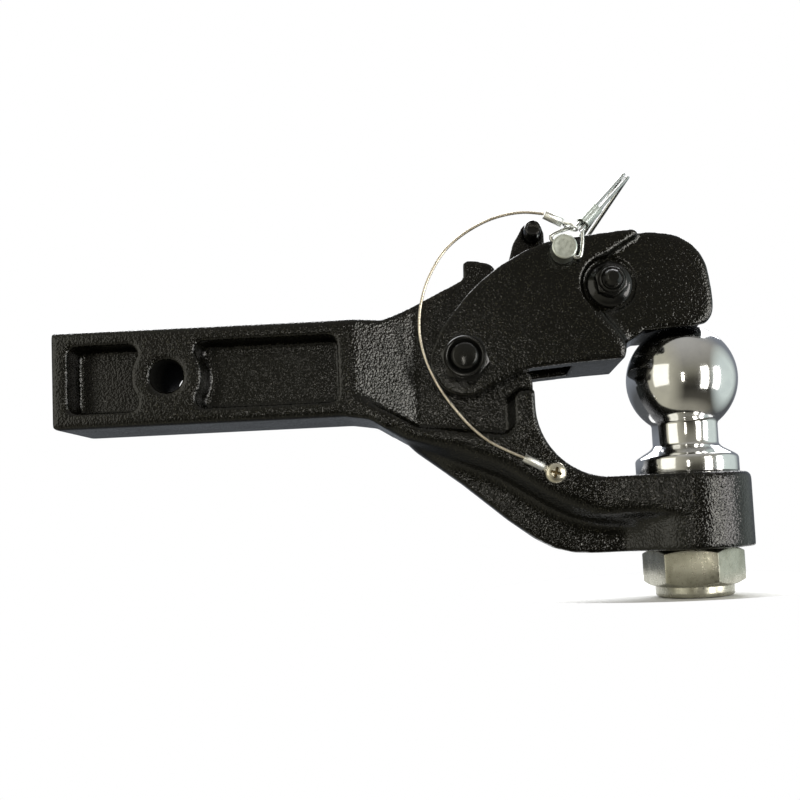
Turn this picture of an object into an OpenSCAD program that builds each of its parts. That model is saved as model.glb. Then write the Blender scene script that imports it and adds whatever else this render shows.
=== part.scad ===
// Combination ball and pintle hook on a two inch receiver shank.
// Origin: centre of the hitch pin hole. +X towards the ball, +Y to the bolt head side, +Z up.

/* [Shank] */
// Width and height of the square shank
shank_w = 50.5; // [48:0.5:52]
// Pin hole centre to the rear end
shank_back = 59; // [54:0.5:75]
// Pin hole centre to the end of the square section
shank_front = 96; // [92:1:100]
// Radius of the shank's long edges
shank_edge = 2.5; // [1:0.5:4]
// Diameter of the hitch pin hole
pin_hole_d = 17; // [16:0.5:19]
// Chamfer at the mouth of the hitch pin hole
pin_hole_lip = 1.2; // [0.5:0.1:2]
// Diameter of the boss that is left round the hitch pin hole
pin_boss_d = 37; // [32:1:40]
// Depth of the weight saving pockets
pocket_depth = 15; // [6:0.5:18]
// Metal left above and below the pockets
pocket_wall = 8; // [6:0.5:11]
// Metal left at the rear of the rear pocket
rear_wall = 8.5; // [6:0.5:14]
// Metal left at the front of the front pocket
front_wall = 8; // [5:0.5:14]
// Corner radius of the pockets
pocket_corner = 4.5; // [2:0.5:8]
// How far the boss bulges into each pocket
boss_bulge = 3.5; // [2:0.5:6]

/* [Hook] */
// Thickness of the tongue that the latch straddles
tongue_t = 29; // [26:1:31]
// Length of the slope from the shank's side in to the tongue
slope_len = 32; // [20:1:36]
// Height of the horn that the lock lever catches
horn_h = 56; // [53:0.5:58]
// Pin hole centre to the horn's catching face
horn_x = 172; // [168:0.5:172.5]
// Pin hole centre to the throat's upright face
throat_x = 188.5; // [185:0.5:191]
// Radius of the throat
throat_r = 38; // [30:1:42]
// Width of the raised pad along the throat
throat_pad = 11; // [7:0.5:14]
// Slant of the throat pad's rear wall
pad_draft = 3; // [2:0.5:5]
// Pin hole centre down to the top of the arm
arm_drop = 62.5; // [60:0.5:66]
// Thickness of the arm's flange
arm_t = 20; // [15:0.5:24]
// Thickness of the keel under the arm
keel_t = 22; // [14:1:30]
// Thickness of the roll between the arm's flange and the keel
roll_t = 38; // [32:1:44]
// Depth of that roll under the flange
roll_drop = 4.5; // [2:0.5:6]
// Length of the keel's flare into the ball platform
keel_flare = 18; // [10:1:30]
// Height of the ball platform
platform_h = 39; // [34:0.5:44]
// Radius of the ball platform
platform_r = 32.5; // [31:0.5:36]
// Rounding of the platform's rims
platform_edge = 3; // [1:0.5:5]

/* [Tow ball] */
// Diameter of the ball
ball_d = 58.74; // [56:0.01:59]
// Pin hole centre to the ball's axis
ball_x = 269.5; // [268:0.5:273]
// Height of the ball's centre over its seat
ball_rise = 51; // [48:0.5:52]
// Diameter of the neck
neck_d = 34.5; // [30:0.5:37]
// Height of the cone between neck and flange
cone_h = 8; // [5:0.5:10]
// Diameter of the flange
flange_d = 54; // [46:0.5:58]
// Height of the flange
flange_h = 8; // [5:0.5:11]
// Diameter of the threaded shank
stud_d = 31.75; // [25:0.25:32]
// Clearance between the threaded shank and its hole, on the radius
stud_fit = 0.2; // [0.05:0.05:0.4]
// Width across the flats of the nut
ball_nut_af = 46; // [44:0.5:50]
// Turn of the nut, from one corner at the front
ball_nut_turn = -16; // [-30:0.5:30]
// Height of the nut's hexagon
ball_nut_h = 19; // [15:0.5:24]
// Diameter of the nut's collar
collar_d = 41; // [38:0.5:43]
// Height of the nut's collar
collar_h = 6; // [4:0.5:8]
// Height of the nylon ring in the collar
insert_h = 4; // [2:0.5:4]
// Width of the nylon ring in the collar
insert_w = 2.6; // [1.5:0.1:2.8]

/* [Latch] */
// Thickness of each cheek
cheek_t = 11.5; // [9:0.5:13]
// Clearance between the tongue and each cheek
cheek_gap = 0.3; // [0.2:0.05:0.6]
// Pin hole centre to the latch pivot
pivot_x = 153.5; // [152:0.5:155]
// Radius of the cheeks round the pivot
lobe_r = 18; // [16:0.5:20]
// Height of the latch's top edge at its front
latch_top = 65; // [63:0.5:67]
// Pin hole centre to the front of the nose
nose_x = 284; // [282:0.5:288]
// Width of the nose
nose_w = 45; // [40:0.5:48]
// Height of the nose's underside
nose_floor = 12.4; // [11:0.2:14]
// Clearance between the ball and the hollow under the nose
nose_gap = 3; // [2:0.25:4]
// Depth of the seats round the lever bolt, from the cheek's face
seat_depth = 4.8; // [4:0.2:6]
// Diameter of the seats round the lever bolt
seat_d = 29; // [27:0.5:31]
// Pin hole centre to the rear wall of the latch's slot at its foot
slot_x = 209.5; // [209:0.5:212]

/* [Pivot bolt] */
// Diameter of the pivot bolt
pivot_d = 14; // [12:0.5:16]
// Clearance of the pivot bolt in its holes, on the radius
pivot_fit = 0.06; // [0.03:0.01:0.1]
// Width across the flats of the pivot bolt's head and nut
pivot_af = 22; // [20:0.5:24]
// Height of the pivot bolt's head
pivot_head_h = 10; // [8:0.5:12]
// Height of the pivot nut
pivot_nut_h = 14; // [11:0.5:16]
// Length of bolt beyond the pivot nut
pivot_tip = 1.5; // [1:0.5:4]
// Play between the latch and the bolt's head and nut
pivot_play = 0.3; // [0.2:0.05:0.5]

/* [Lock lever] */
// Pin hole centre to the lever bolt
lever_x = 230; // [229:0.5:231]
// Height of the lever bolt over the pin hole
lever_z = 37; // [36:0.5:38]
// Radius of the lever's hub
hub_r = 11; // [10:0.5:12]
// Width of the lever
lever_t = 28; // [24:0.5:28.5]
// Diameter of the lever bolt
lever_bolt_d = 10; // [9:0.5:11]
// Clearance of the lever on its bolt, on the radius
lever_fit = 0.06; // [0.03:0.01:0.1]
// Width across the flats of the lever bolt's head and nut
lever_af = 15; // [14:0.5:17]
// Diameter of the flange under the head and nut
lever_flange_d = 24; // [20:0.5:25]
// Thickness of the flange under the head and nut
lever_flange_h = 3; // [2:0.5:4]
// Height of the hexagons over their flanges
lever_hex_h = 9; // [7:0.5:11]
// Length of bolt beyond the lever nut
lever_tip = 4.5; // [2:0.5:6]
// Pin hole centre to the handle
handle_x = 192; // [190:0.5:194]
// Height of the handle over the pin hole
handle_z = 68; // [67:0.1:69]
// Diameter of the handle
handle_d = 8.8; // [7:0.2:10]
// Length of the handle
handle_len = 50; // [44:1:60]
// Rounding at the handle's ends
handle_edge = 1.2; // [0.5:0.1:2]
// Radius of the lever round the handle
handle_boss_r = 6.5; // [6:0.5:7]
// Diameter of the return spring's wire
spring_wire = 1.8; // [1.4:0.1:2]
// Turns of the return spring
spring_turns = 3; // [2:1:3]
// Room between the return spring and the bolt
spring_gap = 0.3; // [0.2:0.05:0.4]
// Depth of the pocket for the return spring
spring_pocket = 9; // [8:0.5:11]

/* [Safety pin] */
// Pin hole centre to the safety pin
safety_x = 206.5; // [205.5:0.5:207]
// Height of the safety pin over the pin hole
safety_z = 54; // [53.5:0.25:54.5]
// Diameter of the safety pin
safety_d = 9.5; // [8:0.25:10]
// Clearance of the safety pin in its holes, on the radius
safety_fit = 0.1; // [0.05:0.05:0.2]
// Diameter of the safety pin's head
head_d = 13; // [11:0.5:14]
// Length of the safety pin's head
head_h = 10; // [8:0.5:12]
// Play under the safety pin's head
head_play = 0.3; // [0.2:0.1:0.6]
// Length of pin beyond the far cheek
safety_tail = 15; // [14:0.5:18]
// Diameter of the groove that the bail drops into
groove_d = 6.6; // [5.5:0.2:7]
// Diameter of the bail's wire
bail_d = 2.6; // [2:0.1:2.8]
// Clearance of the bail's ends in the head, on the radius
bail_fit = 0.1; // [0.05:0.01:0.15]
// Length of the bail from the pin to its tip
bail_len = 63; // [58:1:68]
// Lean of the bail, from level
bail_lean = 50.6; // [48:0.2:53]
// Length of the crimped sleeves on the bail
sleeve_len = 14; // [10:0.5:16]
// Wall of the crimped sleeves
sleeve_wall = 0.7; // [0.5:0.1:1]

/* [Lanyard] */
// Diameter of the lanyard's cable
cable_d = 1.5; // [1.2:0.1:2]
// Diameter of the crimped ferrules
ferrule_d = 4.8; // [4:0.1:5.4]
// Diameter of the screw that holds the lanyard
screw_d = 6; // [5:0.5:6]
// Diameter of the screw's head
screw_head_d = 11; // [9.5:0.5:13]
// Height of the screw's head
screw_head_h = 3.6; // [3:0.2:5]
// Length of the screw in the hook
screw_len = 12; // [8:1:16]

/* [Hidden] */
$fn = 64;

half = shank_w / 2;
cut = 1;
arm_z = -arm_drop;
arm_low = arm_z - arm_t;
platform_low = arm_z - platform_h;
ball_z = arm_z + ball_rise;
cheek_in = tongue_t / 2 + cheek_gap;
cheek_out = cheek_in + cheek_t;
seat_y = cheek_out - seat_depth;
slot_r = hub_r + 1;

// How far the lever lifts when the latch is opened
lever_lift = 30;

// Directions of the bail: along it and across it, seen from the side
bail_along = [cos(bail_lean), 0, sin(bail_lean)];
bail_across = [sin(bail_lean), 0, -cos(bail_lean)];
head_y = -cheek_out - head_play;
bail_y = head_y - head_h * 0.55;
groove_y = cheek_out + safety_tail * 0.65;
bail_gap = 0.3;
bail_pair = bail_d / 2 + 0.1;
sleeve_at = 15;

// The lanyard, from the upper ferrule to the lower one
cable_route = [
  [197, -35, 71.5], [187, -35, 72.8], [177, -34, 72.2], [167, -33, 69.6], [156, -32, 64.2],
  [147, -31, 57.4], [141, -31, 49.6], [136, -30, 40.6], [133, -30, 31.6], [131.4, -30, 22.8],
  [131.2, -30, 14], [132.6, -30, 5], [135.4, -30, -4], [139.8, -29, -13.4], [146.6, -29, -24],
  [154.4, -28, -33.6], [163.2, -28, -41.6], [172.4, -28, -47], [181, -28, -51.2]
];
upper_eye = [210.5, -33.2, 64.8];
upper_ferrule_len = 10;
ferrule_gap = 0.3;
lower_end = [190.6, -28, -56.6];
screw_x = 196.5;
screw_z = -59.6;

// Shared functions and shapes
function unit(v) = v / norm(v);
function tangent(p, i) = unit(p[min(i + 1, len(p) - 1)] - p[max(i - 1, 0)]);
function carry(n, t) = unit(n - (n * t) * t);
function blend(p, i, t) =
  let(a = p[max(i - 1, 0)], b = p[i], c = p[i + 1], d = p[min(i + 2, len(p) - 1)])
  0.5 * (2 * b + (c - a) * t + (2 * a - 5 * b + 4 * c - d) * t * t + (3 * b - a - 3 * c + d) * t * t * t);
function smooth(p, steps) = concat(
  [for (i = [0 : len(p) - 2]) for (k = [0 : steps - 1]) blend(p, i, k / steps)], [p[len(p) - 1]]);
function frames(p, up) = [
  for (i = 0, n = carry(up, tangent(p, 0)); i < len(p);
       i = i + 1, n = carry(n, tangent(p, min(i, len(p) - 1)))) n];

// A round tube along a path
module tube(path, d, up, sides = 8) {
  n = frames(path, up);
  rings = [
    for (i = [0 : len(path) - 1]) for (k = [0 : sides - 1])
      let(a = 360 * k / sides, t = tangent(path, i))
      path[i] + d / 2 * (cos(a) * n[i] + sin(a) * cross(t, n[i]))
  ];
  last = (len(path) - 1) * sides;
  walls = [
    for (i = [0 : len(path) - 2]) for (k = [0 : sides - 1])
      let(a = i * sides + k, b = i * sides + (k + 1) % sides)
      [a, a + sides, b + sides, b]
  ];
  polyhedron(rings, concat(walls, [[for (k = [0 : sides - 1]) k],
    [for (k = [sides - 1 : -1 : 0]) last + k]]), convexity = 10);
}

// An outline in the X-Z plane, given a thickness along Y
module side(t) {
  rotate([90, 0, 0]) linear_extrude(t, center = true) children();
}

// A cylinder along +Y from y0 to y1
module rod(x, z, d, y0, y1) {
  translate([x, y1, z]) rotate([90, 0, 0]) cylinder(h = y1 - y0, d = d);
}

// A hexagonal bar along +Y, one corner turned down from +X
module hex(x, z, af, y0, y1, turn = 0) {
  translate([x, y1, z]) rotate([90, 0, 0]) linear_extrude(y1 - y0)
    rotate(-turn) circle(d = af / cos(30), $fn = 6);
}

// A cylinder between two points
module bar(a, b, d) {
  v = b - a;
  translate(a) rotate([0, acos(v.z / norm(v)), atan2(v.y, v.x)]) cylinder(h = norm(v), d = d);
}

module round_square(w, h, r) {
  square([w - 2 * r, h], center = true);
  square([w, h - 2 * r], center = true);
  for (x = [-1, 1]) for (y = [-1, 1])
    translate([x * (w / 2 - r), y * (h / 2 - r)]) circle(r);
}

// Hook casting
module pocket_outline(x0, x1) {
  difference() {
    translate([(x0 + x1) / 2, 0]) round_square(x1 - x0, shank_w - 2 * pocket_wall, pocket_corner);
    circle(d = pin_boss_d);
  }
}

module tongue_outline() {
  polygon([
    [shank_front - 10, -half + pocket_wall], [shank_front - 10, half], [shank_front + 16, half],
    [horn_x - 19, horn_h - 11], [horn_x - 17, horn_h - 9.5], [horn_x - 17, horn_h - 1.6],
    [horn_x - 15, horn_h], [horn_x - 13, horn_h], [horn_x - 4, horn_h - 2], [horn_x - 1.2, horn_h - 3.6],
    [horn_x, horn_h - 6.4], [horn_x, horn_h - 32], [throat_x, -8], [throat_x, arm_z + throat_r],
    [pivot_x + 20, -half - 20], [pivot_x - 14, -half - 13.5], [shank_front + 28, -half - 10.5],
    [shank_front + 4, -half + 2]
  ]);
}

module rib_outline() {
  pad = throat_x - throat_pad;
  difference() {
    polygon([
      [shank_front - 6, -half + 4], [shank_front - 6, -half], [shank_front + 7, -half - 2],
      [shank_front + 26, -half - 14.2], [pivot_x - 8, -half - 19.6], [pivot_x + 16, arm_low + 27.5],
      [throat_x + 4, arm_low + 12], [throat_x + 16, arm_low + 5.6], [throat_x + 30, arm_low + 1.6],
      [throat_x + 50, arm_low], [ball_x, arm_low], [ball_x, arm_z], [throat_x + throat_r, arm_z],
      [throat_x + throat_r, arm_z + throat_r], [throat_x, arm_z + throat_r], [throat_x, -half + 9.4],
      [pad + 3, -half + 9.4], [pad, -half + 6.4], [pad, -half - 8], [pad - 5, -half - 13],
      [pivot_x - 16, -half - 8.4], [shank_front + 32, -half - 7.2], [shank_front + 2, -half + 10]
    ]);
    translate([throat_x + throat_r, arm_z + throat_r]) circle(throat_r, $fn = 96);
  }
}

// The pad's slanted rear wall
module pad_slope() {
  pad = throat_x - throat_pad;
  translate([0, 0, -half - 10]) linear_extrude(16) polygon([
    [pad - pad_draft, -tongue_t / 2], [pad + 1, -half], [pad + 1, half], [pad - pad_draft, tongue_t / 2]
  ]);
}

module keel_outline() {
  polygon([
    [shank_front + 25, -half - 12], [shank_front + 27, -half - 16.8], [pivot_x - 5, -half - 36.2],
    [pivot_x + 5, -half - 44.8],
    [throat_x - 16, platform_low + 19.4], [throat_x - 2, platform_low + 8.8],
    [throat_x + 8, platform_low + 3.2], [throat_x + 18, platform_low + 0.6],
    [throat_x + 30, platform_low], [ball_x, platform_low], [ball_x, arm_low + 6],
    [throat_x + 10, arm_low + 8], [pivot_x + 10, arm_low + 34]
  ]);
}

// The flange's rounded underside, between the flange and the keel
module roll_outline() {
  low = arm_low - roll_drop;
  polygon([
    [shank_front + 26, -half - 13], [pivot_x - 8, -half - 19.6 - roll_drop], [pivot_x + 16, low + 27.5],
    [throat_x + 4, low + 12], [throat_x + 16, low + 5.6], [throat_x + 30, low + 1.6], [throat_x + 50, low],
    [ball_x, low], [ball_x, arm_low + 6], [throat_x + 10, arm_low + 14], [pivot_x + 12, arm_low + 36]
  ]);
}

module platform() {
  r = platform_r;
  e = platform_edge;
  translate([ball_x, 0, platform_low]) rotate_extrude($fn = 96) difference() {
    union() {
      square([r, platform_h - e]);
      square([r - e, platform_h]);
      translate([r - e, platform_h - e]) circle(e);
    }
    translate([-cut - r, -cut]) square([cut + r, platform_h + 2 * cut]);
  }
}

// A plan outline that widens from a half width w to the platform's edge at an angle t, over a run
module flare(w, t, run) {
  x1 = ball_x + platform_r * cos(t);
  y1 = platform_r * sin(t);
  polygon([
    [x1 - run - 6, -w], [x1 - run, -w], [x1, -y1], [ball_x, -y1],
    [ball_x, y1], [x1, y1], [x1 - run, w], [x1 - run - 6, w]
  ]);
}

module arm_flare() {
  t = 99;
  translate([0, 0, arm_low]) linear_extrude(arm_t)
    flare(half, t, abs((platform_r * sin(t) - half) / tan(t + 90)));
  translate([0, 0, platform_low]) linear_extrude(platform_h - arm_t + 1)
    flare(keel_t / 2, 125, keel_flare);
}

module hook_solid() {
  x = shank_front;
  translate([-shank_back, 0, 0]) rotate([90, 0, 90])
    linear_extrude(shank_back + x) round_square(shank_w, shank_w, shank_edge);
  intersection() {
    side(shank_w) tongue_outline();
    translate([0, 0, arm_z]) linear_extrude(arm_drop + horn_h + cut) polygon([
      [x - 20, -half], [x, -half], [x + slope_len, -tongue_t / 2], [throat_x, -tongue_t / 2],
      [throat_x, tongue_t / 2], [x + slope_len, tongue_t / 2], [x, half], [x - 20, half]
    ]);
  }
  side(shank_w) rib_outline();
  pad_slope();
  side(roll_t) roll_outline();
  side(keel_t) keel_outline();
  arm_flare();
  platform();
}

module hook_body() {
  lip = pin_hole_lip;
  color("#26272a") difference() {
    hook_solid();
    for (s = [-1, 1]) {
      translate([0, s * half, 0]) side(2 * pocket_depth) {
        pocket_outline(-shank_back + rear_wall, boss_bulge - pin_boss_d / 2);
        pocket_outline(pin_boss_d / 2 - boss_bulge, shank_front - front_wall);
      }
      translate([0, s * half, 0]) rotate([s * 90, 0, 0])
        cylinder(h = lip, d1 = pin_hole_d + 2 * lip, d2 = pin_hole_d);
    }
    rod(0, 0, pin_hole_d, -half - cut, half + cut);
    rod(pivot_x, 0, pivot_d + 2 * pivot_fit, -half - cut, half + cut);
    translate([ball_x, 0, platform_low - cut])
      cylinder(h = platform_h + 2 * cut, d = stud_d + 2 * stud_fit);
    rod(screw_x, screw_z, screw_d, -half - cut, -half + screw_len);
  }
}

// Tow ball with its neck, flange and threaded shank
module tow_ball() {
  r = ball_d / 2;
  run = (flange_d - neck_d) / 2;
  stud_len = platform_h + ball_nut_h + collar_h - 1.5;
  color("#d9dadc") translate([ball_x, 0, arm_z]) {
    translate([0, 0, ball_rise]) sphere(r, $fn = 96);
    rotate_extrude($fn = 96) {
      polygon([
        [0, 0], [flange_d / 2 - 1, 0], [flange_d / 2, 1], [flange_d / 2, flange_h],
        [neck_d / 2 + run * 0.87, flange_h + cone_h * 0.2],
        [neck_d / 2 + run * 0.3, flange_h + cone_h * 0.62],
        [neck_d / 2 + run * 0.09, flange_h + cone_h * 0.8], [neck_d / 2, flange_h + cone_h],
        [neck_d / 2, ball_rise - r * 0.7], [0, ball_rise - r * 0.7]
      ]);
      translate([0, -stud_len]) square([stud_d / 2, stud_len]);
    }
  }
}

module ball_nut() {
  h = ball_nut_h + collar_h;
  top = platform_low;
  edge = ((collar_d - stud_d) / 2 - insert_w) / 2;
  color("#c3c5c4") difference() {
    union() {
      translate([ball_x, 0, top - ball_nut_h]) linear_extrude(ball_nut_h)
        rotate(ball_nut_turn) circle(d = ball_nut_af / cos(30), $fn = 6);
      translate([ball_x, 0, top - h]) rotate_extrude($fn = 64) polygon([
        [0, 0], [collar_d / 2 - edge, 0], [collar_d / 2, edge], [collar_d / 2, h - 1], [0, h - 1]
      ]);
    }
    translate([ball_x, 0, top - h - cut]) cylinder(h = h + 2 * cut, d = stud_d);
    translate([ball_x, 0, top - h + 1]) cylinder(h = insert_h, d = stud_d + 2 * insert_w);
  }
}

module nut_insert() {
  color("#e8e8e2") translate([ball_x, 0, platform_low - ball_nut_h - collar_h + 1])
    linear_extrude(insert_h) difference() {
      circle(d = stud_d + 2 * insert_w);
      circle(d = stud_d);
    }
}

// Latch: two cheeks and the nose in one casting
module cheek_outline() {
  translate([pivot_x, 0]) circle(lobe_r);
  polygon([
    [pivot_x - lobe_r * 0.9, lobe_r * 0.436], [pivot_x - 11.6, 17.2], [pivot_x - 4.2, 26.4],
    [pivot_x + 2.9, 34.6], [pivot_x + 10.6, 41.7], [pivot_x + 20.5, latch_top - 16],
    [pivot_x + 33.5, latch_top - 9], [pivot_x + 42, latch_top - 5.5], [pivot_x + 50, latch_top - 3.8],
    [lever_x + 13.6, latch_top], [lever_x + 16, latch_top - 1.4], [lever_x + 16, latch_top - 3],
    [lever_x, lever_z + 15.4], [lever_x - 6, lever_z], [lever_x - 4, lever_z - 16],
    [lever_x + 1, lever_z - 22], [lever_x + 7, lever_z - 31], [lever_x + 7.4, lever_z - 34.5],
    [lever_x + 5.4, lever_z - 39.4], [slot_x, -3.6], [pivot_x + 34.5, -5.2], [pivot_x + 26, -7.4],
    [pivot_x + 16.5, -12.2], [pivot_x + 8.6, -lobe_r * 0.878]
  ]);
}

module nose_outline() {
  f = nose_floor;
  polygon([
    [slot_x + 2, latch_top - 6], [lever_x + 10, latch_top - 1.6], [nose_x - 31, latch_top - 0.8],
    [nose_x - 24, latch_top - 1.2], [nose_x - 17, latch_top - 3], [nose_x - 10, latch_top - 7.5],
    [nose_x - 5.5, latch_top - 12.7], [nose_x - 2.3, latch_top - 19.7], [nose_x - 1, latch_top - 28.5],
    [nose_x, f + 12.6], [nose_x - 1, f + 6.6], [nose_x - 4.5, f + 2.1], [nose_x - 10, f + 0.4],
    [nose_x - 37, f], [lever_x + 13, f - 3], [lever_x + 7, lever_z - 31], [slot_x + 2, 2]
  ]);
}

module slot_outline() {
  translate([lever_x, lever_z]) circle(slot_r);
  polygon([
    [pivot_x - 2 * lobe_r, -2 * lobe_r], [slot_x, -2 * lobe_r], [slot_x, lever_z - 23],
    [lever_x, lever_z - slot_r], [lever_x + slot_r, lever_z], [lever_x + slot_r, latch_top + 9],
    [pivot_x - 2 * lobe_r, latch_top + 9]
  ]);
}

module latch_jaw() {
  color("#2a2b2e") difference() {
    union() {
      side(2 * cheek_out) cheek_outline();
      side(nose_w) nose_outline();
    }
    side(2 * cheek_in) slot_outline();
    translate([ball_x, 0, ball_z]) sphere(ball_d / 2 + nose_gap, $fn = 96);
    for (s = [-1, 1])
      translate([lever_x, s * (seat_y + 5), lever_z]) rotate([90, 0, 0])
        cylinder(h = 10, d = seat_d, center = true);
    rod(pivot_x, 0, pivot_d + 2 * pivot_fit, -cheek_out - cut, cheek_out + cut);
    rod(lever_x, lever_z, lever_bolt_d, -cheek_out - cut, cheek_out + cut);
    rod(safety_x, safety_z, safety_d + 2 * safety_fit, -cheek_out - cut, cheek_out + cut);
  }
}

// Pivot bolt and its nut
module pivot_bolt() {
  seat = cheek_out + pivot_play;
  end = seat + pivot_nut_h + pivot_tip;
  color("#303134") {
    rod(pivot_x, 0, pivot_d, 1.5 - end, seat + 2);
    translate([pivot_x, 1.5 - end, 0]) rotate([90, 0, 0])
      cylinder(h = 1.5, d1 = pivot_d, d2 = pivot_d - 3);
    hex(pivot_x, 0, pivot_af, seat, seat + pivot_head_h, 12);
  }
}

module pivot_nut() {
  seat = cheek_out + pivot_play;
  top = seat + pivot_nut_h;
  color("#303134") difference() {
    union() {
      hex(pivot_x, 0, pivot_af, 3.5 - top, -seat, 12.6);
      rod(pivot_x, 0, pivot_af * 0.955, -top, -seat - cut);
    }
    rod(pivot_x, 0, pivot_d, -top - cut, -seat + cut);
  }
}

// Lock lever, slotted for the safety pin
module lever_outline() {
  reach = norm([lever_x - safety_x, safety_z - lever_z]);
  room = safety_d / 2 + 1;
  end = atan2(safety_z - lever_z, safety_x - lever_x) + lever_lift + asin(room / reach);
  difference() {
    union() {
      translate([lever_x, lever_z]) circle(hub_r);
      translate([handle_x, handle_z]) circle(handle_boss_r);
      polygon([
        [handle_x - 13.7, handle_z - 20.2], [handle_x - 11.9, handle_z - 23.2],
        [handle_x - 2, handle_z - 34.6], [handle_x + 8, handle_z - 43.2],
        [handle_x + 20, handle_z - 48.6], [lever_x, lever_z - hub_r], [lever_x, lever_z + hub_r],
        [handle_x + handle_boss_r, handle_z - 11], [handle_x + handle_boss_r, handle_z],
        [handle_x - handle_boss_r * 0.7, handle_z + handle_boss_r * 0.7],
        [handle_x - 10.2, handle_z - 4.5], [handle_x - 12.4, handle_z - 12.2]
      ]);
    }
    translate([lever_x, lever_z]) difference() {
      circle(reach + room);
      circle(reach - room);
      rotate(end) translate([-2 * reach, -2 * reach]) square([2 * reach, 4 * reach]);
      rotate(end) translate([-2 * reach, 0]) square([4 * reach, 2 * reach]);
    }
  }
}

module lock_lever() {
  pocket_d = lever_bolt_d + 2 * (spring_gap + spring_wire) + 1.6;
  color("#232427") difference() {
    side(lever_t) lever_outline();
    rod(lever_x, lever_z, lever_bolt_d + 2 * lever_fit, -lever_t, lever_t);
    rod(handle_x, handle_z, handle_d, -lever_t, lever_t);
    rod(lever_x, lever_z, pocket_d, -lever_t, spring_pocket - lever_t / 2);
  }
}

module lever_handle() {
  e = handle_edge;
  color("#1d1e20") translate([handle_x, 0, handle_z]) rotate([90, 0, 0])
    translate([0, 0, -handle_len / 2]) rotate_extrude() polygon([
      [0, 0], [handle_d / 2 - e, 0], [handle_d / 2, e], [handle_d / 2, handle_len - e],
      [handle_d / 2 - e, handle_len], [0, handle_len]
    ]);
}

module lever_bolt() {
  near = seat_y + lever_flange_h + lever_hex_h + lever_tip;
  color("#303134") {
    rod(lever_x, lever_z, lever_bolt_d, 2.5 - near, seat_y + 1);
    translate([lever_x, 2.5 - near, lever_z]) rotate([90, 0, 0])
      cylinder(h = 2.5, d1 = lever_bolt_d, d2 = lever_bolt_d - 4.5);
    rod(lever_x, lever_z, lever_flange_d, seat_y, seat_y + lever_flange_h);
    hex(lever_x, lever_z, lever_af, seat_y + 1, seat_y + lever_flange_h + lever_hex_h, 8);
  }
}

module lever_nut() {
  color("#303134") difference() {
    union() {
      rod(lever_x, lever_z, lever_flange_d, -seat_y - lever_flange_h, -seat_y);
      hex(lever_x, lever_z, lever_af, -seat_y - lever_flange_h - lever_hex_h, -seat_y - 1, 20);
    }
    rod(lever_x, lever_z, lever_bolt_d, -seat_y - 30, -seat_y + cut);
  }
}

module lever_spring() {
  r = lever_bolt_d / 2 + spring_gap + spring_wire / 2;
  pitch = spring_wire * 1.15;
  steps = 16 * spring_turns;
  y0 = -lever_t / 2 + spring_wire * 0.7;
  color("#8c8f92") tube(
    [for (i = [0 : steps])
      let(a = 360 * spring_turns * i / steps)
      [lever_x + r * cos(a), y0 + pitch * spring_turns * i / steps, lever_z + r * sin(a)]],
    spring_wire, [0, 1, 0]);
}

// Safety pin, its spring wire bail and the bail's sleeves
module safety_pin() {
  tail = cheek_out + safety_tail;
  color("#b9bbba") difference() {
    union() {
      rod(safety_x, safety_z, safety_d, head_y - 1, tail - 1.5);
      translate([safety_x, tail - 1.5, safety_z]) rotate([-90, 0, 0])
        cylinder(h = 1.5, d1 = safety_d, d2 = safety_d - 3);
      rod(safety_x, safety_z, head_d, head_y - head_h + 1, head_y);
      translate([safety_x, head_y - head_h + 1, safety_z]) rotate([90, 0, 0])
        cylinder(h = 1, d1 = head_d, d2 = head_d - 2);
    }
    translate([safety_x, groove_y, safety_z]) rotate([90, 0, 0]) difference() {
      cylinder(h = bail_d + 1, d = safety_d + 2, center = true);
      cylinder(h = bail_d + 2, d = groove_d, center = true);
    }
    bar([safety_x, bail_y, safety_z] - head_d * bail_across,
        [safety_x, bail_y, safety_z] + head_d * bail_across, bail_d + 2 * bail_fit);
  }
}

function bail_point(along, across, y) =
  [safety_x, 0, safety_z] + along * bail_along + across * bail_across + [0, y, 0];
function lean_y(y, along) = y * (bail_len - along) / (bail_len - sleeve_at);

module pin_bail() {
  wide = head_d / 2 + bail_d / 2 + 1;
  top = bail_len - 2;
  low = groove_d / 2 + bail_d / 2 + bail_gap;
  leg = [
    bail_point(0, head_d / 2 - 3, bail_y), bail_point(0, wide - 1.6, bail_y),
    bail_point(0.8, wide - 0.2, bail_y), bail_point(2.6, wide, bail_y),
    bail_point(8, wide - 3, bail_y), bail_point(sleeve_at - 1.5, bail_pair + 0.4, bail_y),
    bail_point(sleeve_at + 1, bail_pair, lean_y(bail_y, sleeve_at + 1)),
    bail_point(top - 3, bail_pair, lean_y(bail_y, top - 3)),
    bail_point(top - 0.6, bail_pair, -2), bail_point(bail_len, bail_pair, 0),
    bail_point(top - 0.6, bail_pair, 2), bail_point(top - 3, bail_pair, lean_y(groove_y, top - 3)),
    bail_point(sleeve_at + 1, bail_pair, lean_y(groove_y, sleeve_at + 1)),
    bail_point(sleeve_at - 1.5, bail_pair + 0.4, groove_y), bail_point(low + 4, 4, groove_y),
    bail_point(low + 1.6, 4.4, groove_y), bail_point(low + 0.4, 3.6, groove_y),
    bail_point(low, 2.2, groove_y)
  ];
  other = [
    for (i = [len(leg) - 1 : -1 : 0])
      let(v = leg[i] - [safety_x, 0, safety_z]) leg[i] - 2 * (v * bail_across) * bail_across
  ];
  color("#c9cbca") tube(smooth(concat(leg, other), 2), bail_d, bail_along);
}

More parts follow.
